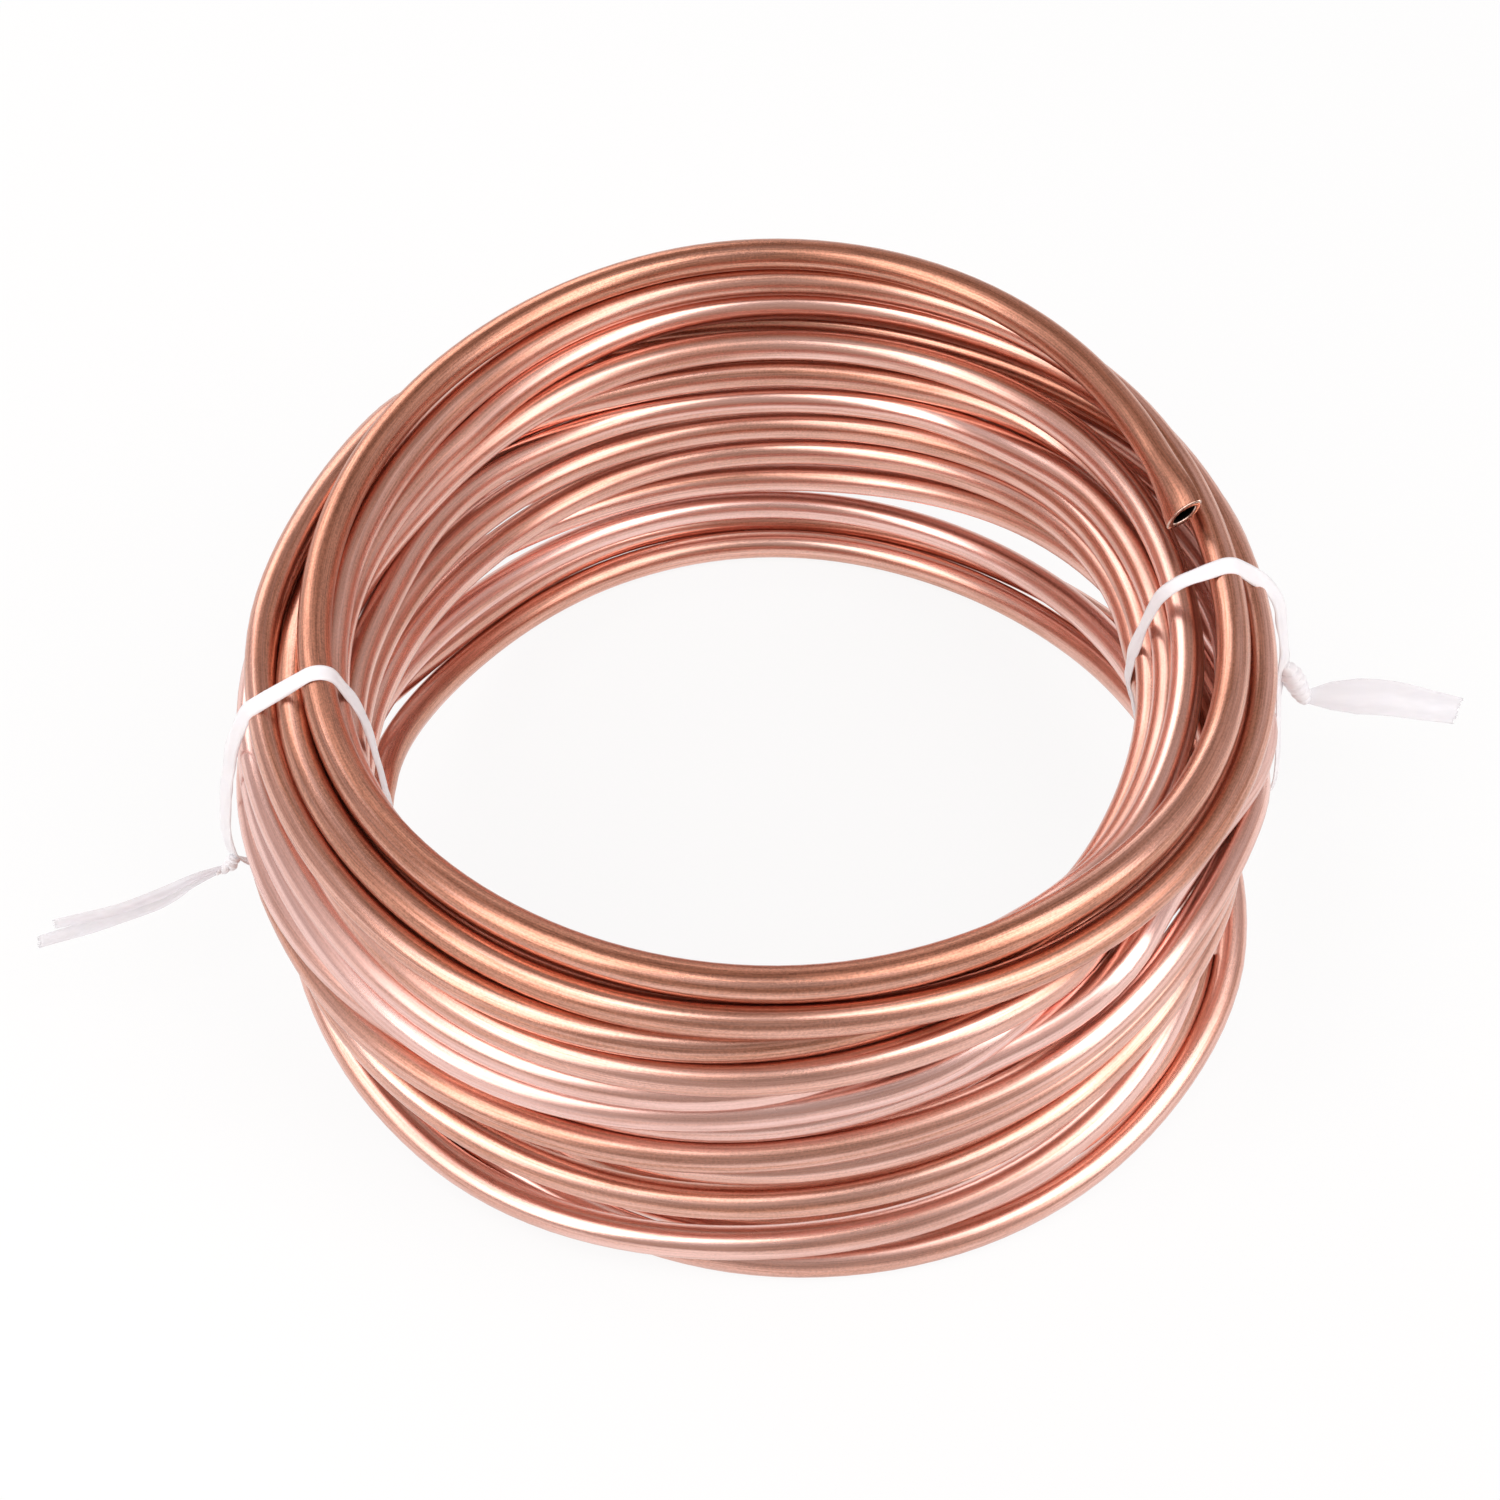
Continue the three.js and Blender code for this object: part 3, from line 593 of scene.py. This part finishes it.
def random_waves(seed, count, spacing, columns, fade):
    """Smooth random values from -1 to 1 at count points, fading out at both ends.

    The knots between which they run go past the first and the last point."""
    knots = np.random.default_rng(seed).uniform(-1, 1, (count // spacing + 3, columns))
    waves = cubic_samples(knots, np.linspace(0.5, len(knots) - 1.5, count))
    place = np.arange(count)
    return waves * np.clip(np.minimum(place, place[::-1]) / fade, 0, 1)[:, None]


def strip_frames(tangent, facing, twist):
    """Directions out of a strip's flat side and across it, twisted about its length."""
    out = unit(facing - (facing * tangent).sum(1)[:, None] * tangent)
    across = np.cross(tangent, out)
    cosine, sine = np.cos(twist)[:, None], np.sin(twist)[:, None]
    return out * cosine + across * sine, across * cosine - out * sine


def strip_section(spine, out, height, half_thickness):
    """Vertices of a strip's section: over its upper side, and back under it."""
    over = spine + np.outer(height + half_thickness, out)
    under = spine + np.outer(height - half_thickness, out)
    return np.concatenate([over, under[::-1]]) * TUBE_M


def film_loop(name, turns, material, clock, width, lean, swing, turned, slack, seed):
    """The closed loop of a tie round all the turns at its clock angle, as RIGHT_LOOP notes."""
    outline = loop_outline(turns, slack)
    count = len(outline)
    heading = math.radians(clock)
    along = np.array([math.cos(heading), math.sin(heading), 0.0])
    front = -math.copysign(1, along[1])
    swing_height, reach = swing
    below = np.clip((swing_height - outline[:, 1]) / SWING_FALL, 0, 1)
    below = smooth_step(below * np.clip(outline[:, 0] - SWING_RADIUS, 0, 1))
    middle = outline.mean(0)
    shift = (outline[:, 1] - middle[1]) * lean + front * reach * below
    points = placed(clock, outline) + along * shift[:, None]

    tangent = unit(np.roll(points, -1, 0) - np.roll(points, 1, 0))
    facing = np.cross(tangent, along)
    if ((points - points.mean(0)) * facing).sum() < 0:
        facing = -facing
    wave = random_waves(seed, count, WAVE_SPACING, 1, WAVE_FADE)[:, 0]
    steep = np.abs(tangent[:, 2]) * np.where(outline[:, 0] > middle[0], *turned)
    steep = eased(steep[:, None], TURN_EASING, closed=True)[:, 0]
    out, across = strip_frames(tangent, facing, LOOP_TWIST * wave + steep)
    widths = width * (1 + LOOP_WAVER * wave) * (1 - LOOP_NARROWING * below)

    share = np.linspace(-1, 1, LOOP_COLUMNS)
    crown = LOOP_CROWN * FILM_THICKNESS * (1 - share ** 2)
    half_thickness = FILM_THICKNESS / 2 * (1 - LOOP_EDGE * share ** LOOP_EDGE_POWER)
    folds = random_waves(seed, count, FOLD_SPACING, LOOP_COLUMNS, FOLD_FADE) * LOOP_FOLD
    vertices = []
    for i in range(count):
        spine = points[i] + np.outer(share * widths[i] / 2, across[i])
        vertices.extend(strip_section(spine, out[i], folds[i] + crown, half_thickness))
    faces = ring_faces(count, 2 * LOOP_COLUMNS, closed=True)
    return smooth_object(name, vertices, faces, [material])


def twisted_neck(name, material, knots, radii, wraps):
    """Film twisted tightly round itself: a cord whose wraps stand out as one helical ridge."""
    line = curve_through(knots, NECK_STEP)
    count = len(line)
    _, side, up = curve_frames(line)
    share = np.linspace(0, 1, count)
    radius = np.interp(share, np.linspace(0, 1, len(radii)), radii)
    turn = ring_turns(NECK_SIDES)
    vertices = []
    for i in range(count):
        ridge = np.abs(np.sin(math.pi * wraps * share[i] - turn / 2)) ** RIDGE_POWER
        reach = radius[i] * (NECK_CORE + (1 - NECK_CORE) * ridge)
        ring = np.outer(np.cos(turn) * reach, side[i]) + np.outer(np.sin(turn) * reach, up[i])
        vertices.extend((line[i] + ring) * TUBE_M)
    faces = ring_faces(count, NECK_SIDES) + end_faces(count, NECK_SIDES)
    return smooth_object(name, vertices, faces, [material])


def film_tail(name, material, knots, widths, folds, facing, twist, seed):
    """A loose end of film: a strip pleated lengthwise, gathered where it leaves the knot."""
    line = curve_through(knots, TAIL_STEP)
    count = len(line)
    share = np.linspace(0, 1, count)
    wide = np.interp(share, np.linspace(0, 1, len(widths)), widths)
    tangent = unit(np.gradient(line, axis=0))
    out, across = strip_frames(tangent, np.array(facing), twist * share)
    random = np.random.default_rng(seed)
    # Three drifts are drawn, and the two waves of the pleats follow the first two.
    drift = cubic_samples(random.uniform(-1, 1, (DRIFT_KNOTS, 3)),
                          np.linspace(0.5, DRIFT_KNOTS - 1.5, count))
    threads = random.uniform(0.0, FRAY, TAIL_COLUMNS)
    sideways = np.linspace(-1, 1, TAIL_COLUMNS)
    phase = sideways * folds * math.pi
    vertices = []
    for i in range(count):
        pleats = sum(high * np.sin(waves * phase + reach * moved)
                     for (high, waves, reach), moved in zip(PLEAT_WAVES, drift[i]))
        growth = PLEAT_AT_KNOT + (1 - PLEAT_AT_KNOT) * min(share[i] / PLEAT_RUN, 1)
        height = PLEAT_HEIGHT * pleats * growth * wide[i] / max(widths)
        spine = line[i] + np.outer(sideways * wide[i] / 2, across[i])
        if i == count - 1:
            spine += np.outer(threads, tangent[i])
        vertices.extend(strip_section(spine, out[i], height, TAIL_THICKNESS / 2))
    sides = 2 * TAIL_COLUMNS
    faces = ring_faces(count, sides)
    last = (count - 1) * sides
    for j in range(TAIL_COLUMNS - 1):
        faces.append((sides - 1 - j, sides - 2 - j, j + 1, j))
    for j in range(TAIL_COLUMNS - 1):
        faces.append((last + j, last + j + 1, last + sides - 2 - j, last + sides - 1 - j))
    return smooth_object(name, vertices, faces, [material])


def joined(name, pieces):
    """One object of several, under a new name."""
    with bpy.context.temp_override(active_object=pieces[0], selected_editable_objects=pieces):
        bpy.ops.object.join()
    pieces[0].name = name
    return pieces[0]


def make_right_tie(angles, path, film, clear_film):
    """The right tie: its loop, a tight neck and one broad tail."""
    loop = film_loop("right_loop", turns_at(angles, path, RIGHT_LOOP["clock"]), film, **RIGHT_LOOP)
    neck = twisted_neck("right_neck", film, **RIGHT_NECK)
    tail = film_tail("right_tail", clear_film, **RIGHT_TAIL)
    return joined("tie_right_film", [loop, neck, tail])


def make_left_tie(angles, path, film, clear_film):
    """The left tie: its loop, a short neck and two narrow tails."""
    loop = film_loop("left_loop", turns_at(angles, path, LEFT_LOOP["clock"]), film, **LEFT_LOOP)
    neck = twisted_neck("left_neck", film, **LEFT_NECK)
    long_tail = film_tail("left_tail_long", clear_film, **LEFT_LONG_TAIL)
    short_tail = film_tail("left_tail_short", clear_film, **LEFT_SHORT_TAIL)
    return joined("tie_left_film", [loop, neck, long_tail, short_tail])


# ---------------------------------------------------------------- materials
class Nodes:
    """The node tree of a material or world, with short calls to add and link nodes."""

    def __init__(self, owner):
        owner.use_nodes = True
        self.owner = owner
        self.tree = owner.node_tree
        self.tree.nodes.clear()

    def put(self, socket, value):
        """Link a socket to another node's output, or set its value."""
        if isinstance(value, bpy.types.NodeSocket):
            self.tree.links.new(value, socket)
        else:
            socket.default_value = (*value, 1) if socket.type == "RGBA" else value

    def add(self, kind, inputs=None, **settings):
        node = self.tree.nodes.new(kind)
        for key, value in settings.items():
            setattr(node, key, value)
        for key, value in (inputs or {}).items():
            self.put(node.inputs[key], value)
        return node

    def noise(self, vector, scale, detail, roughness):
        return self.add("ShaderNodeTexNoise", {
            "Vector": vector, "Scale": scale, "Detail": detail,
            "Roughness": roughness}).outputs["Fac"]

    def stretched_noise(self, vector, stretch, detail, roughness):
        stretched = self.add("ShaderNodeMapping", {"Vector": vector, "Scale": stretch}).outputs[0]
        return self.noise(stretched, 1.0, detail, roughness)

    def map_range(self, value, given, wanted=(0.0, 1.0)):
        return self.add("ShaderNodeMapRange", {
            "Value": value, "From Min": given[0], "From Max": given[1],
            "To Min": wanted[0], "To Max": wanted[1]}).outputs[0]

    def ramp(self, value, stops):
        """A colour ramp through (place, colour) stops."""
        node = self.add("ShaderNodeValToRGB", {"Fac": value})
        while len(node.color_ramp.elements) < len(stops):
            node.color_ramp.elements.new(0.5)
        for element, (place, colour) in zip(node.color_ramp.elements, stops):
            element.position = place
            element.color = (*colour, 1)
        return node.outputs["Color"]

    def grey_ramp(self, value, low, high, dark=0.0):
        return self.ramp(value, [(low, grey(dark)), (high, grey(1.0))])

    def mix(self, share, first, second, blend="MIX"):
        return self.add("ShaderNodeMix", {0: share, 6: first, 7: second}, data_type="RGBA",
                        blend_type=blend).outputs[2]

    def mix_shaders(self, share, first, second):
        return self.add("ShaderNodeMixShader", {0: share, 1: first, 2: second}).outputs[0]

    def maths(self, operation, first, second=0.0):
        return self.add("ShaderNodeMath", {0: first, 1: second}, operation=operation).outputs[0]

    def weighed(self, first, second, share):
        """Share of the first value, and the rest of the second."""
        return self.maths("ADD", self.maths("MULTIPLY", first, share),
                          self.maths("MULTIPLY", second, 1 - share))

    def bump(self, height, strength, distance):
        return self.add("ShaderNodeBump", {"Height": height, "Strength": strength,
                                           "Distance": distance}).outputs["Normal"]

    def finish(self, shader, output="ShaderNodeOutputMaterial"):
        self.add(output, {"Surface": shader})
        return self.owner


def grey(value):
    return (value, value, value)


# How brown each turn is, from the open end (a) to the hidden end (r); a and l, the turns along the
# top at the front, are the brownest.
TURN_BROWN_TONE = (1.00, 0.35, 0.40, 0.45, 0.50, 0.40, 0.15, 0.10, 0.15,
                0.30, 0.60, 1.00, 0.40, 0.35, 0.40, 0.35, 0.15, 0.50)
EVEN_TURN_TONE = 0.4          # tone of a turn that is neither browner nor lighter than its streaks
TURN_WEIGHT = 0.3           # how much a turn's tone adds to its streaks
BROWNER_TONE = 0.5          # tone from which a turn has the browner turns' colour

# Copper's textures: waves a metre along the tube and in two directions across it, how many
# finer layers each has, and how strong they are.
STREAKS = ((9, 1500, 1500), 4.0, 0.6)
PATCHES = ((26, 260, 260), 3.0, 0.55)
GRAIN = ((2600, 3800, 3800), 3.0, 0.7)
HAIRLINES = ((5600, 420, 420), 2.0, 0.5)
DRAW_LINES = ((120, 5200, 5200), 2.0, 0.5)
BROWNED = (0.38, 0.66)      # tarnish at which copper begins to brown, and at which it is brown
# Grain and draw lines darken copper, clean and browned: from, to, and darkest shade.
CLEAN_SPECKLE = (0.36, 0.58, 0.88)
BROWN_SPECKLE = (0.38, 0.60, 0.52)
# The patches change the roughness, over a range of theirs, from the first to the second.
ROUGH_PATCHES = (0.3, 0.7)
ROUGH_CHANGE = (-0.05, 0.07)
RELIEF_HAIRLINES = 0.6      # hairlines' share of the relief; the rest is draw lines
COPPER_RELIEF = (0.12, 0.00004)     # strength, and height in metres

# Each copper's colour on browner turns, on clean ones and in tarnish, and its roughness.
DRAWN_COPPER = ((0.97, 0.60, 0.51), (0.97, 0.65, 0.60), (0.74, 0.34, 0.23), 0.27)
# The bore's colours are near black: painted shade inside the tube, not its copper's own colour.
BORE_PAINTED_SHADE = ((0.05, 0.03, 0.025), (0.05, 0.03, 0.025), (0.02, 0.012, 0.01), 0.5)
CUT_COPPER = ((0.97, 0.80, 0.72), (0.97, 0.80, 0.72), (0.9, 0.66, 0.56), 0.2)

FILM_CLOUDS = (420.0, 3.0, 0.6)     # waves a metre, finer layers and their strength
FILM_CREASES = ((30, 300, 300), 2.0, 0.5)
FILM_RELIEF = (0.08, 0.00008)
FILM_RANGE = (0.35, 0.65)   # range of clouds and creases in which colour and clearness change
FILM_COLOURS = ((0.955, 0.96, 1.0), (0.975, 0.975, 1.0))
FILM_TINT = (0.985, 0.985, 1.0)     # colour of what is seen through the film
FILM_LEAST_CLEAR = 0.7      # share of its clearness that film keeps in its creases
FILM_ROUGHNESS = 0.35


def copper_material(name, browner_turn, clean_turn, brown, roughness):
    """Drawn copper: long draw streaks, fine mottling and cross hairlines over rose metal."""
    n = Nodes(bpy.data.materials.new(name))
    along = n.add("ShaderNodeAttribute", attribute_name="lengthways").outputs["Vector"]
    run = n.add("ShaderNodeSeparateXYZ", {0: along}).outputs["X"]
    turn_tone = n.ramp(n.map_range(run, (0.0, TUBE_LENGTH_M)),
                       [((turn + 0.5) / len(TURN_BROWN_TONE), grey(value))
                        for turn, value in enumerate(TURN_BROWN_TONE)])
    streaks = n.stretched_noise(along, *STREAKS)
    patches = n.stretched_noise(along, *PATCHES)
    grain = n.stretched_noise(along, *GRAIN)
    hairlines = n.stretched_noise(along, *HAIRLINES)
    draw_lines = n.stretched_noise(along, *DRAW_LINES)

    turn_share = n.maths("MULTIPLY", n.maths("SUBTRACT", turn_tone, EVEN_TURN_TONE), TURN_WEIGHT)
    tarnish = n.maths("ADD", n.weighed(streaks, patches, 0.5), turn_share)
    browned = n.grey_ramp(tarnish, *BROWNED)
    metal = n.mix(n.maths("MULTIPLY", turn_tone, 1 / BROWNER_TONE), clean_turn, browner_turn)
    fine = n.weighed(grain, draw_lines, 0.5)
    speckle = n.mix(browned, n.grey_ramp(fine, *CLEAN_SPECKLE), n.grey_ramp(fine, *BROWN_SPECKLE))
    colour = n.mix(1.0, n.mix(browned, metal, brown), speckle, "MULTIPLY")
    rough = n.map_range(patches, ROUGH_PATCHES, [roughness + change for change in ROUGH_CHANGE])
    normal = n.bump(n.weighed(hairlines, draw_lines, RELIEF_HAIRLINES), *COPPER_RELIEF)
    shader = n.add("ShaderNodeBsdfPrincipled", {"Base Color": colour, "Metallic": 1.0,
                                                "Roughness": rough, "Normal": normal})
    return n.finish(shader.outputs[0])


def film_material(name, clear, glow):
    """White film with faint creases.

    Clear is its share of plain see-through, and glow the share of light from behind it."""
    n = Nodes(bpy.data.materials.new(name))
    spot = n.add("ShaderNodeTexCoord").outputs["Object"]
    clouds = n.noise(spot, *FILM_CLOUDS)
    creases = n.stretched_noise(spot, *FILM_CREASES)
    colour = n.mix(n.grey_ramp(clouds, *FILM_RANGE), *FILM_COLOURS)
    surface = n.add("ShaderNodeBsdfPrincipled", {
        "Base Color": colour, "Roughness": FILM_ROUGHNESS,
        "Normal": n.bump(creases, *FILM_RELIEF)}).outputs[0]
    lit_behind = n.add("ShaderNodeBsdfTranslucent", {"Color": colour}).outputs[0]
    see_through = n.add("ShaderNodeBsdfTransparent", {"Color": FILM_TINT}).outputs[0]
    share = n.map_range(creases, FILM_RANGE, (clear * FILM_LEAST_CLEAR, clear))
    return n.finish(n.mix_shaders(share, n.mix_shaders(glow, surface, lit_behind), see_through))


# ---------------------------------------------------------------- stage
FLOOR_HALF_M = 3.0          # half a side of the square floor
FLOOR_GREY = 0.92
# The floor's share of plain white, near the object, where its shadow shows, and far away.
FLOOR_NEAR_M, FLOOR_FAR_M = 0.2, 0.9
WHITE_NEAR, WHITE_FAR = 0.88, 1.0

ROOM_COLOUR = (0.56, 0.50, 0.49)
CEILING_COLOUR = (0.34, 0.25, 0.21)     # the ceiling over the back, round one direction
CEILING_DIRECTION = (0.0, 0.423, 0.906)
CEILING_SPREAD = 17.0       # half width of it, in degrees
CEILING_EDGE = 14.0         # width of its soft edge, in degrees
# Two more dark parts of the room: along two axes of a direction, the first value is where
# the part starts, and the second where it is full.
MIDDLE_COLOUR = (0.40, 0.36, 0.34)      # a band between the left and right lamps
MIDDLE_SIDEWAYS = (0.42, 0.14)
MIDDLE_FORWARD = (0.1, -0.2)
FRONT_COLOUR = (0.42, 0.34, 0.30)       # the front wall
FRONT_FORWARD = (-0.35, -0.75)
FRONT_HEIGHT = (0.66, 0.44)

# Soft lamps: name, place and aim in metres, width and height in metres, power in watts.
LAMPS = (
    ("left_box", (-0.38, -0.31, 0.48), (-0.03, -0.05, 0.04), 0.36, 0.80, 2.2),
    ("right_box", (0.42, -0.22, 0.48), (0.03, -0.05, 0.04), 0.38, 0.80, 2.3),
    ("back_left_box", (-0.38, 0.58, 0.40), (0, 0, 0.04), 0.72, 0.42, 1.8))

CAMERA_PITCH = 51.5         # degrees below the horizon
CAMERA_PLACE = (-0.51, -50.94, 56.84)   # tube diameters from the middle of the top plane
CAMERA_LENS = 62.42         # millimetres, as the sensor's width is
CAMERA_SENSOR = 36.0


def floor_material():
    """White to the camera and in reflections, darkened by the shadow near the object."""
    n = Nodes(bpy.data.materials.new("studio_floor"))
    lit = n.add("ShaderNodeBsdfDiffuse", {"Color": grey(FLOOR_GREY)}).outputs[0]
    rays = n.add("ShaderNodeLightPath").outputs
    seen = n.maths("MAXIMUM", rays["Is Camera Ray"],
                   n.maths("MAXIMUM", rays["Is Glossy Ray"], rays["Is Transmission Ray"]))
    white = n.add("ShaderNodeEmission", {"Color": grey(1.0), "Strength": 1.0}).outputs[0]
    spot = n.add("ShaderNodeTexCoord").outputs["Object"]
    distance = n.add("ShaderNodeVectorMath", {0: spot}, operation="LENGTH").outputs["Value"]
    whiteness = n.map_range(distance, (FLOOR_NEAR_M, FLOOR_FAR_M), (WHITE_NEAR, WHITE_FAR))
    return n.finish(n.mix_shaders(n.maths("MULTIPLY", seen, whiteness), lit, white))


def make_stage():
    h = FLOOR_HALF_M
    floor = smooth_object("floor", [(-h, -h, 0), (h, -h, 0), (h, h, 0), (-h, h, 0)],
                          [(0, 1, 2, 3)], [floor_material()])


def make_world():
    """White behind the object; a light room with darker parts above, in front and between."""
    world = bpy.data.worlds.new("studio")
    bpy.context.scene.world = world
    n = Nodes(world)
    direction = n.add("ShaderNodeTexCoord").outputs["Generated"]
    towards = n.add("ShaderNodeVectorMath", {0: direction, 1: CEILING_DIRECTION},
                    operation="DOT_PRODUCT").outputs["Value"]
    edge = [math.cos(math.radians(angle))
            for angle in (CEILING_SPREAD + CEILING_EDGE, CEILING_SPREAD)]
    room = n.ramp(n.map_range(towards, edge), [(0.0, ROOM_COLOUR), (1.0, CEILING_COLOUR)])
    parts = n.add("ShaderNodeSeparateXYZ", {0: direction}).outputs
    middle = n.maths("MULTIPLY",
                     n.map_range(n.maths("ABSOLUTE", parts["X"]), MIDDLE_SIDEWAYS),
                     n.map_range(parts["Y"], MIDDLE_FORWARD))
    front = n.maths("MULTIPLY", n.map_range(parts["Y"], FRONT_FORWARD),
                    n.map_range(parts["Z"], FRONT_HEIGHT))
    room = n.mix(front, n.mix(middle, room, MIDDLE_COLOUR), FRONT_COLOUR)
    seen = n.add("ShaderNodeLightPath").outputs["Is Camera Ray"]
    light = n.add("ShaderNodeBackground", {"Color": n.mix(seen, room, grey(1.0)),
                                           "Strength": 1.0})
    n.finish(light.outputs[0], "ShaderNodeOutputWorld")


def make_lights():
    for name, place, aim, width, height, power in LAMPS:
        data = bpy.data.lights.new(name, "AREA")
        data.shape = "RECTANGLE"
        data.size, data.size_y = width, height
        data.energy = power
        lamp = bpy.data.objects.new(name, data)
        lamp.location = place
        lamp.rotation_euler = (Vector(aim) - Vector(place)).to_track_quat("-Z", "Y").to_euler()
        lamp.visible_camera = False
        bpy.context.collection.objects.link(lamp)


def make_camera():
    data = bpy.data.cameras.new("camera")
    data.sensor_width = CAMERA_SENSOR
    data.lens = CAMERA_LENS
    camera = bpy.data.objects.new("camera", data)
    bpy.context.collection.objects.link(camera)
    x, y, z = CAMERA_PLACE
    camera.location = Vector((x, y, z + TOP_PLANE)) * TUBE_M
    camera.rotation_euler = (math.radians(90 - CAMERA_PITCH), 0, 0)
    bpy.context.scene.camera = camera


# ---------------------------------------------------------------- scene
make_camera()

copper = copper_material("drawn_copper", *DRAWN_COPPER)
# The bore gets near-black copper, which is painted shade inside the tube.
bore = copper_material("copper_bore_painted_shade", *BORE_PAINTED_SHADE)
cut = copper_material("cut_copper", *CUT_COPPER)
film = film_material("tie_film", clear=0.0, glow=0.05)
clear_film = film_material("tie_film_thin", clear=0.6, glow=0.1)

turn_angles, turn_path = wound_tube()
tube = make_tube(turn_angles, turn_path, [copper, bore, cut])
tie_left = make_left_tie(turn_angles, turn_path, film, clear_film)
tie_right = make_right_tie(turn_angles, turn_path, film, clear_film)

for piece, node, slot in ((tube, "copper_tube", "copper"), (tie_left, "tie_left", "film"),
                          (tie_right, "tie_right", "film")):
    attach(piece, "root")
    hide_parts(node)

make_stage()
make_world()
make_lights()
bpy.context.scene.view_settings.view_transform = "Standard"
